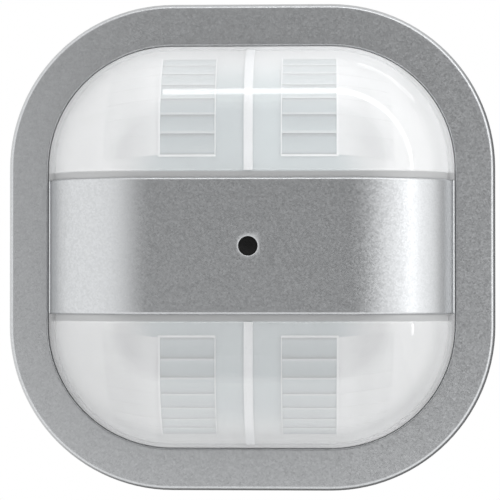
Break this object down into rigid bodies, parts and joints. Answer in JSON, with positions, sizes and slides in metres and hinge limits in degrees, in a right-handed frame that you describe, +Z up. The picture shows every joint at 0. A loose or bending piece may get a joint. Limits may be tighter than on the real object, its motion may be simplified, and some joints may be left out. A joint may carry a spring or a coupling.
{
  "type": "motion sensor light switch",
  "caption": "Flush-mounted square motion sensor light switch: silver frame, domed milky facet lens and a silver band with a black window, over a wall box mechanism.",
  "frame": {"origin": "centre of the support plate's rear face, on the wall plane", "axes": "+Y into the wall, +Z up, +X to the right as seen from the front, which faces -Y"},
  "size_m": [0.08, 0.045, 0.08],
  "materials": {
    "silver_paint": "metallic silver paint, satin",
    "milky_lens": "milky, glossy outside, faceted inside",
    "smoked_window": "smoked, glossy",
    "grey_plastic": "fine moulded texture",
    "pale_plastic": "fine moulded texture",
    "dial_plastic": "moulded",
    "black_plastic": "fine moulded texture",
    "plate_steel": "zinc plated sheet",
    "zinc_steel": "bright zinc plated",
    "can_metal": "drawn nickel plated",
    "contact_brass": "bare",
    "circuit_board": "lacquered"
  },
  "bodies": {
    "mechanism": {"support_plate": "plate_steel", "claw_pins": "zinc_steel", "rear_case": "grey_plastic", "front_case": "pale_plastic", "housing_screws": "zinc_steel", "sensor_board": "circuit_board", "left_pyro_sensor": "can_metal", "right_pyro_sensor": "can_metal", "pyro_windows": "smoked_window", "pyro_spacers": "black_plastic", "photo_sensor": "smoked_window", "control_chip": "black_plastic", "trimmer_bodies": "black_plastic", "board_header": "black_plastic", "power_board": "circuit_board", "board_screws": "zinc_steel", "relay": "black_plastic", "film_capacitor": "pale_plastic", "smoothing_capacitor": "black_plastic", "varistor": "dial_plastic", "fuse": "zinc_steel", "terminal_housing_line": "black_plastic", "terminal_housing_neutral": "black_plastic", "terminal_housing_load": "black_plastic", "terminal_bars": "contact_brass"},
    "cover": {"front_frame": "silver_paint", "fresnel_lens": "milky_lens", "centre_band": "silver_paint", "light_guide": "smoked_window", "lens_retainer": "grey_plastic", "retainer_screws": "zinc_steel"},
    "time_dial": {"time_dial": "dial_plastic"},
    "lux_dial": {"lux_dial": "dial_plastic"},
    "range_dial": {"range_dial": "dial_plastic"},
    "left_claw_screw": {"left_claw_screw": "zinc_steel"},
    "right_claw_screw": {"right_claw_screw": "zinc_steel"},
    "left_claw": {"left_claw": "zinc_steel"},
    "right_claw": {"right_claw": "zinc_steel"},
    "terminal_screw_line": {"terminal_screw_line": "zinc_steel"},
    "terminal_screw_neutral": {"terminal_screw_neutral": "zinc_steel"},
    "terminal_screw_load": {"terminal_screw_load": "zinc_steel"},
    "terminal_cage_line": {"terminal_cage_line": "zinc_steel"},
    "terminal_cage_neutral": {"terminal_cage_neutral": "zinc_steel"},
    "terminal_cage_load": {"terminal_cage_load": "zinc_steel"}
  },
  "joints": [
    {"name": "cover_pull", "type": "slide", "parent": "mechanism", "child": "cover", "axis": [0, -1, 0], "range_m": [0, 0.03]},
    {"name": "time_dial_turn", "type": "hinge", "parent": "mechanism", "child": "time_dial", "pos_m": [-0.01, -0.008, -0.017], "axis": [0, 1, 0], "range_deg": [-117, 117]},
    {"name": "lux_dial_turn", "type": "hinge", "parent": "mechanism", "child": "lux_dial", "pos_m": [0, -0.008, -0.017], "axis": [0, 1, 0], "range_deg": [-117, 117]},
    {"name": "range_dial_turn", "type": "hinge", "parent": "mechanism", "child": "range_dial", "pos_m": [0.01, -0.008, -0.017], "axis": [0, 1, 0], "range_deg": [-117, 117]},
    {"name": "left_claw_screw_turn", "type": "hinge", "parent": "mechanism", "child": "left_claw_screw", "pos_m": [-0.0234, -0.0006, -0.009], "axis": [0, 1, 0], "range_deg": [0, 864]},
    {"name": "right_claw_screw_turn", "type": "hinge", "parent": "mechanism", "child": "right_claw_screw", "pos_m": [0.0234, -0.0006, -0.009], "axis": [0, 1, 0], "range_deg": [0, 864]},
    {"name": "left_claw_swing", "type": "hinge", "parent": "mechanism", "child": "left_claw", "pos_m": [-0.0206, 0.004, -0.009], "axis": [0, 0, 1], "range_deg": [0, 24]},
    {"name": "right_claw_swing", "type": "hinge", "parent": "mechanism", "child": "right_claw", "pos_m": [0.0206, 0.004, -0.009], "axis": [0, 0, -1], "range_deg": [0, 24]},
    {"name": "terminal_screw_line_turn", "type": "hinge", "parent": "mechanism", "child": "terminal_screw_line", "pos_m": [-0.009, 0.0204, -0.0167], "axis": [0, -1, 0], "range_deg": [0, 1728]},
    {"name": "terminal_screw_neutral_turn", "type": "hinge", "parent": "mechanism", "child": "terminal_screw_neutral", "pos_m": [0, 0.0204, -0.0167], "axis": [0, -1, 0], "range_deg": [0, 1728]},
    {"name": "terminal_screw_load_turn", "type": "hinge", "parent": "mechanism", "child": "terminal_screw_load", "pos_m": [0.009, 0.0204, -0.0167], "axis": [0, -1, 0], "range_deg": [0, 1728]},
    {"name": "terminal_cage_line_rise", "type": "slide", "parent": "mechanism", "child": "terminal_cage_line", "axis": [0, 1, 0], "range_m": [0, 0.0024]},
    {"name": "terminal_cage_neutral_rise", "type": "slide", "parent": "mechanism", "child": "terminal_cage_neutral", "axis": [0, 1, 0], "range_m": [0, 0.0024]},
    {"name": "terminal_cage_load_rise", "type": "slide", "parent": "mechanism", "child": "terminal_cage_load", "axis": [0, 1, 0], "range_m": [0, 0.0024]}
  ],
  "couplings": [
    {"joint": "left_claw_swing", "follows": "left_claw_screw_turn", "ratio": 0.027778},
    {"joint": "right_claw_swing", "follows": "right_claw_screw_turn", "ratio": 0.027778},
    {"joint": "terminal_screw_line_turn", "follows": "terminal_cage_line_rise", "rad_per_m": 12566},
    {"joint": "terminal_screw_neutral_turn", "follows": "terminal_cage_neutral_rise", "rad_per_m": 12566},
    {"joint": "terminal_screw_load_turn", "follows": "terminal_cage_load_rise", "rad_per_m": 12566}
  ]
}
